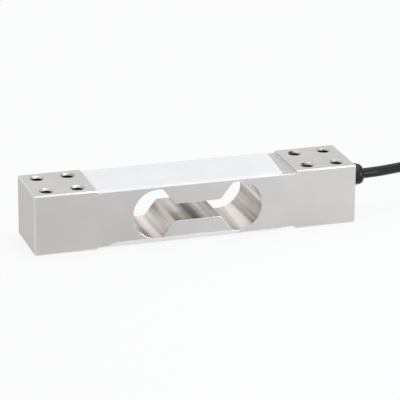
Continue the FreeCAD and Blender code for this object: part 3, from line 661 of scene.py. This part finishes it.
@dataclass
class SealantBed:
    """Silicone poured over one recess. Sizes are in millimetres."""

    palette: Palette
    side: Side
    start: float = -46.5
    end: float = 42.8
    floor: float = 26.3
    # The skin's height at its rim, its swell over that, and the width of its rounded rim.
    edge: float = 0.2
    crown: float = 0.72
    shoulder: float = 3.2
    # How far up its rounded rim the bed meets the left pad, as a share of the shoulder.
    left_start: float = 0.35
    # How far the end on the cable's side slants, and the reach of its round corners.
    slant: float = 2.6
    corner: float = 2.0
    # Waves and ripples in the skin: their sizes, heights and seeds.
    wave_length: float = 14.0
    wave_width: float = 9.0
    wave_height: float = 0.05
    wave_seed: float = 3.7
    ripple_size: float = 4.0
    ripple_height: float = 0.012
    ripple_seed: float = 8.1
    cell: float = 0.6
    smooth_below: float = 60.0

    def end_at(self, y: float) -> float:
        """Tell where the bed ends on the cable's side: slantwise, with a round corner.

        Args:
            y: A place across the bar.

        Returns:
            The bed's end there, along the bar.
        """
        beyond = max(0.0, abs(y) - BAR_HALF_WIDTH + self.corner)
        slant = self.slant * (0.5 - y / (2 * BAR_HALF_WIDTH))
        return self.end - slant - 0.5 * beyond**2 / self.corner

    def rise(self, x: float, y: float) -> float:
        """Tell how high the skin is over the recess floor.

        Args:
            x: A place along the bar.
            y: A place across the bar.

        Returns:
            The skin's height there.
        """
        left = (x - self.start) / self.shoulder + self.left_start
        right = (self.end_at(y) - x) / self.shoulder
        across = (BAR_HALF_WIDTH - abs(y)) / self.shoulder
        inward = min(left, right, across, 1.0)
        swell = math.sqrt(max(0.0, 1.0 - (1.0 - max(inward, 0.0)) ** 2))
        seed = self.wave_seed * self.side.value
        wave = noise.noise(Vector((x / self.wave_length, y / self.wave_width, seed)))
        fine = Vector((x / self.ripple_size, y / self.ripple_size, self.ripple_seed))
        uneven = self.wave_height * wave + self.ripple_height * noise.noise(fine)
        return self.edge + (self.crown + uneven) * swell

    def build(self) -> bpy.types.Object:
        """Raise a grid to the skin's shape and close it down to the recess floor.

        Returns:
            The piece that stands for the recess's CAD sealant.
        """
        mesh = bmesh.new()
        length, width = self.end - self.start, 2 * BAR_HALF_WIDTH
        middle = (self.start + self.end) / 2
        bmesh.ops.create_grid(
            mesh,
            x_segments=round(length / self.cell),
            y_segments=round(width / self.cell),
            size=0.5,
        )
        bmesh.ops.scale(mesh, verts=mesh.verts, vec=(length * MM, width * MM, 1.0))
        bmesh.ops.translate(mesh, verts=mesh.verts, vec=(middle * MM, 0, 0))
        for vertex in mesh.verts:
            share = (vertex.co.x / MM - self.start) / length
            reach = self.end_at(vertex.co.y / MM) - self.start
            vertex.co.x = (self.start + share * reach) * MM
        skin = bmesh.ops.extrude_face_region(mesh, geom=mesh.faces[:])["geom"]
        for vertex in vertices(skin):
            vertex.co.z = self.rise(vertex.co.x / MM, vertex.co.y / MM) * MM
        low = self.floor if self.side is Side.TOP else BAR_HEIGHT - self.floor
        for vertex in mesh.verts:
            vertex.co.z = low * MM + self.side.value * vertex.co.z
        side = self.side.name.lower()
        material = self.palette.get(SILICONE)
        piece = new_piece(f"{side}_silicone", mesh, material, self.smooth_below)
        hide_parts(f"{side}_sealant")
        return piece


@dataclass
class WipedFilm:
    """The thin film of silicone wiped over the front face's lower edge. Sizes in millimetres."""

    palette: Palette
    start: float = -41.0
    end: float = 20.0
    foot: float = 1.2
    height: float = 1.5
    thickness: float = 0.05
    # The gap in front of the bar's face, which keeps the two surfaces apart.
    gap: float = 0.01
    # The shares of the length over which the left and the right end taper.
    left_taper: float = 0.06
    right_taper: float = 0.12
    # The shares left of the height at the ends, and of the thickness at the edges and the ends.
    end_height: float = 0.25
    edge_thickness: float = 0.35
    end_thickness: float = 0.1
    # How the upper edge wanders: how far, over what length and with which seed.
    wanders: tuple[Point, ...] = ((0.22, 5.0, 1.3), (0.08, 1.5, 4.1))
    cell: float = 0.4
    rows: int = 4
    smooth_below: float = 60.0

    def place(self, along: float, up: float) -> Vector:
        """Place one point of the film's outer skin.

        Args:
            along: The share of the length that it is at.
            up: The share of the height that it is at.

        Returns:
            Its place, in metres.
        """
        x = self.start + along * (self.end - self.start)
        taper = min(1.0, along / self.left_taper, (1.0 - along) / self.right_taper)
        held = max(taper, 0.0)
        wander = sum(
            far * noise.noise(Vector((x / size, seed, 0.0))) for far, size, seed in self.wanders
        )
        tall = self.height * (self.end_height + (1 - self.end_height) * held) + wander * held
        bulge = 4 * up * (1 - up)
        thick = self.edge_thickness + (1 - self.edge_thickness) * bulge
        proud = self.gap + self.thickness * thick * max(taper, self.end_thickness)
        return Vector((x, -BAR_HALF_WIDTH - proud, self.foot + up * tall)) * MM

    def build(self) -> bpy.types.Object:
        """Lay a strip on the front face whose upper edge wanders and whose ends taper.

        Returns:
            The film.
        """
        mesh = bmesh.new()
        cells = round((self.end - self.start) / self.cell)
        bmesh.ops.create_grid(mesh, x_segments=cells, y_segments=self.rows, size=0.5)
        upright = Matrix.Rotation(math.radians(90), 3, "X")
        bmesh.ops.rotate(mesh, verts=mesh.verts, cent=(0, 0, 0), matrix=upright)
        for vertex in mesh.verts:
            vertex.co = self.place(vertex.co.x + 0.5, vertex.co.z + 0.5)
        bmesh.ops.solidify(mesh, geom=mesh.faces[:], thickness=self.thickness * MM)
        material = self.palette.get(SILICONE)
        return new_piece("wiped_silicone_film", mesh, material, self.smooth_below)


# ---------------------------------------------------------------- cable


class End(Enum):
    """An end of the hank, and the way along the bar to it."""

    LEFT = -1
    RIGHT = 1


@dataclass
class Cable:
    """The cable from the gland to the stripped end. Sizes are in millimetres."""

    palette: Palette
    radius: float = 2.4
    length: float = 1000.0
    # From the gland to the strand on top of the hank.
    run: tuple[Point, ...] = (
        (74.0, 0.0, 17.5),
        (87.8, 0.0, 17.5),
        (98.6, 3.3, 16.9),
        (107.8, 6.0, 16.7),
        (116.8, 8.5, 16.9),
        (125.54, 10.8, 17.4),
        (134.74, 10.8, 17.75),
    )
    # From the lowest strand to the stripped end.
    tail: tuple[Point, ...] = (
        (245.26, 10.8, 3.5),
        (253.76, 10.8, 3.5),
        (262.2, 9.2, 2.9),
        (270.6, 9.2, 2.9),
    )
    # The hank: the middles of its folds, their radius, its lowest strand and its turns.
    left_fold: float = 147.0
    right_fold: float = 233.0
    centre_y: float = -3.6
    fold: float = 14.4
    lowest: float = 3.5
    turns: int = 3
    # Control points round each fold and along each strand.
    fold_points: int = 10
    side_points: int = 5
    # How finely the jacket is drawn round itself and along its line.
    round_steps: int = 5
    line_steps: int = 8

    def bend(self, end: End, height: float, drop: float) -> list[Point]:
        """Work out the control points of one fold.

        Args:
            end: The end of the hank that the fold is at.
            height: Its height where it starts.
            drop: How far it sinks.

        Returns:
            Its points, in millimetres.
        """
        middle = self.right_fold if end is End.RIGHT else self.left_fold
        step = math.pi / self.fold_points
        reach = self.fold / math.cos(step / 2)
        points = []
        for index in range(self.fold_points):
            turned = (index + 0.5) * step
            x = middle + end.value * reach * math.sin(turned)
            y = self.centre_y + end.value * reach * math.cos(turned)
            points.append((x, y, height - drop * eased((index + 0.5) / self.fold_points)))
        return points

    def strand(self, towards: End, height: float) -> list[Point]:
        """Work out the control points between two folds, to the right at the back, else left.

        Args:
            towards: The end of the hank that the strand runs to.
            height: Its height.

        Returns:
            Its points, in millimetres.
        """
        start = self.left_fold if towards is End.RIGHT else self.right_fold
        way = towards.value * (self.right_fold - self.left_fold)
        y = self.centre_y + towards.value * self.fold
        shares = [(index + 0.5) / self.side_points for index in range(self.side_points)]
        return [(start + share * way, y, height) for share in shares]

    def hank(self) -> list[Point]:
        """Work out the hank's control points, from the strand on top down to the lowest one.

        Returns:
            Its points, in millimetres.
        """
        thickness = 2 * self.radius
        height = self.lowest + self.turns * thickness
        points = self.strand(End.RIGHT, height)
        for _ in range(self.turns):
            points += self.bend(End.RIGHT, height, thickness)
            height -= thickness
            points += self.strand(End.LEFT, height)
            points += self.bend(End.LEFT, height, 0.0)
            points += self.strand(End.RIGHT, height)
        return points

    def build(self, rides_along: Iterable[bpy.types.Object]) -> bpy.types.Object:
        """Args:
            rides_along: The pieces that are on the cable; not used.

        Returns:
            The cable's curve.
        """
        points = [*self.run, *self.hank(), *self.tail]
        curve = bpy.data.curves.new("cable", "CURVE")
        curve.dimensions = "3D"
        curve.bevel_depth = self.radius * MM
        curve.bevel_resolution = self.round_steps
        curve.resolution_u = self.line_steps
        curve.use_fill_caps = True
        spline = curve.splines.new("NURBS")
        spline.points.add(len(points) - 1)
        for target, point in zip(spline.points, points):
            target.co = (*(value * MM for value in point), 1.0)
        spline.order_u = 3
        spline.use_endpoint_u = True
        curve.materials.append(self.palette.get(JACKET))
        piece = bpy.data.objects.new("cable", curve)
        bpy.context.scene.collection.objects.link(piece)
        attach(piece, "root")
        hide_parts("cable_run", "cable_hank", "cable_tail")
        list(rides_along)
        LOG.info("cable: %d control points", len(points))
        return piece


# ---------------------------------------------------------------- CAD nodes


@dataclass
class CarriedNodes:
    """The CAD nodes whose own shapes stay."""

    palette: Palette
    nodes: Mapping[str, bpy.types.Object]

    def dress(self) -> None:
        """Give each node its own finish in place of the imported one."""
        for name, finish in NODE_FINISHES.items():
            for slot in self.nodes[name].material_slots:
                slot.material = self.palette.get(finish)
            LOG.info("%s: dressed as %s", name, finish.name)


# ---------------------------------------------------------------- studio


@dataclass(frozen=True)
class Lamp:
    """A rectangular soft lamp. Its places and sizes are in metres, its power in watts."""

    name: str
    place: Point
    aim: Point
    size: tuple[float, float]
    power: float
    shade: str

    def hang(self) -> None:
        """Hang the lamp in its place, facing its aim."""
        data = bpy.data.lights.new(self.name, "AREA")
        data.shape = "RECTANGLE"
        data.size, data.size_y = self.size
        data.energy = self.power
        data.color = colour(self.shade)[:3]
        lamp = bpy.data.objects.new(self.name, data)
        lamp.location = self.place
        way = Vector(self.aim) - Vector(self.place)
        lamp.rotation_euler = way.to_track_quat("-Z", "Y").to_euler()
        bpy.context.scene.collection.objects.link(lamp)


@dataclass
class Studio:
    """The camera, the floor and the lamps.

    The camera's distance, target, lens and sensor are in millimetres and its angles in degrees.
    Its clipping distances and the floor's sizes are in metres.
    """

    azimuth: float = -18.0
    elevation: float = 20.0
    roll: float = 0.46
    distance: float = 1090.0
    target: Point = (5.66, 0.0, 12.65)
    lens: float = 217.35
    sensor: float = 36.0
    clip: tuple[float, float] = (0.01, 20.0)
    floor_size: float = 6.0
    floor_gap: float = 0.0002
    floor_shade: str = "F2F2F2"
    # The share of plain white in the floor where it is seen. The rest keeps the shadow.
    floor_white: float = 0.85
    # Strength of the even light from all round.
    soft_light: float = 0.62
    lamps: tuple[Lamp, ...] = (
        Lamp(
            name="overhead_softbox",
            place=(0.15, 0.1, 0.9),
            aim=(0.0, 0.0, 0.0),
            size=(0.9, 0.7),
            power=3.5,
            shade="E9F1FF",
        ),
        Lamp(
            name="right_softbox",
            place=(0.3, -0.42, 0.12),
            aim=(0.06, 0.0, 0.01),
            size=(0.3, 0.2),
            power=1.0,
            shade="E6F0FF",
        ),
    )

    def camera(self) -> None:
        """Place the camera."""
        az, el, roll = (math.radians(a) for a in (self.azimuth, self.elevation, self.roll))
        back = Vector((math.sin(az) * math.cos(el), -math.cos(az) * math.cos(el), math.sin(el)))
        right = Vector((math.cos(az), math.sin(az), 0.0))
        up = back.cross(right)
        turned_right = math.cos(roll) * right + math.sin(roll) * up
        turned_up = -math.sin(roll) * right + math.cos(roll) * up
        data = bpy.data.cameras.new("camera")
        data.lens = self.lens
        data.sensor_width = self.sensor
        data.clip_start, data.clip_end = self.clip
        camera = bpy.data.objects.new("camera", data)
        place = (Vector(self.target) + back * self.distance) * MM
        axes = Matrix((turned_right, turned_up, back)).transposed().to_4x4()
        camera.matrix_world = Matrix.Translation(place) @ axes
        bpy.context.scene.collection.objects.link(camera)
        bpy.context.scene.camera = camera

    def seen(self, tree: bpy.types.NodeTree) -> bpy.types.NodeSocket:
        """Tell by a 1 which rays show the backdrop: the camera's and those in metal and glass.

        Args:
            tree: The material's or world's tree.

        Returns:
            The socket that gives the number.
        """
        rays = add_node(tree, "ShaderNodeLightPath")
        total = rays.outputs["Is Camera Ray"]
        for name in ("Is Glossy Ray", "Is Transmission Ray"):
            added = add_node(
                tree,
                "ShaderNodeMath",
                {"operation": "ADD", "use_clamp": True},
                {0: total, 1: rays.outputs[name]},
            )
            total = added.outputs[0]
        return total

    def floor(self) -> None:
        """Lay a plain white floor that keeps the object's shadow."""
        mesh = bmesh.new()
        bmesh.ops.create_grid(mesh, x_segments=1, y_segments=1, size=self.floor_size)
        data = bpy.data.meshes.new("floor")
        mesh.to_mesh(data)
        mesh.free()
        # Matt coated paper: an even white without a sheen.
        material = bpy.data.materials.new("white_paper_floor")
        material.use_nodes = True
        tree = material.node_tree
        tree.nodes.clear()
        share = add_node(
            tree,
            "ShaderNodeMath",
            {"operation": "MULTIPLY"},
            {0: self.seen(tree), 1: self.floor_white},
        )
        paper = {"Color": colour(self.floor_shade)}
        matt = add_node(tree, "ShaderNodeBsdfDiffuse", inputs=paper)
        plain = {"Color": colour("FFFFFF"), "Strength": 1.0}
        white = add_node(tree, "ShaderNodeEmission", inputs=plain)
        mix = add_node(
            tree,
            "ShaderNodeMixShader",
            inputs={0: share.outputs[0], 1: matt.outputs[0], 2: white.outputs[0]},
        )
        output = add_node(tree, "ShaderNodeOutputMaterial")
        tree.links.new(mix.outputs[0], output.inputs["Surface"])
        data.materials.append(material)
        floor = bpy.data.objects.new("floor", data)
        floor.location.z = -self.floor_gap
        bpy.context.scene.collection.objects.link(floor)

    def world(self) -> None:
        """Surround the part with soft light, and show plain white where the world is seen."""
        world = bpy.data.worlds.new("studio_world")
        bpy.context.scene.world = world
        world.use_nodes = True
        tree = world.node_tree
        tree.nodes.clear()
        soft, white = (
            add_node(
                tree,
                "ShaderNodeBackground",
                inputs={"Color": colour("FFFFFF"), "Strength": strength},
            )
            for strength in (self.soft_light, 1.0)
        )
        mix = add_node(
            tree,
            "ShaderNodeMixShader",
            inputs={0: self.seen(tree), 1: soft.outputs[0], 2: white.outputs[0]},
        )
        output = add_node(tree, "ShaderNodeOutputWorld")
        tree.links.new(mix.outputs[0], output.inputs["Surface"])

    def build(self) -> None:
        """Set up the whole studio."""
        bpy.context.scene.view_settings.view_transform = "Standard"
        self.camera()
        self.floor()
        self.world()
        for lamp in self.lamps:
            lamp.hang()
            LOG.info("%s: hung", lamp.name)


# ---------------------------------------------------------------- assembly


def main() -> None:
    """Set up the studio, dress the CAD nodes and add the pieces that replace or complete them."""
    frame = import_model()
    nodes = frame["nodes"]
    palette = Palette()
    Studio().build()
    CarriedNodes(palette, nodes).dress()
    Cable(palette).build(nodes[name] for name in ON_CABLE)
    Bar(palette, nodes["beam"]).build()
    TappedHoles(palette).build()
    for side in Side:
        SealantBed(palette, side).build()
    WipedFilm(palette).build()

    bpy.context.view_layer.update()


if __name__ == "__main__":
    main()
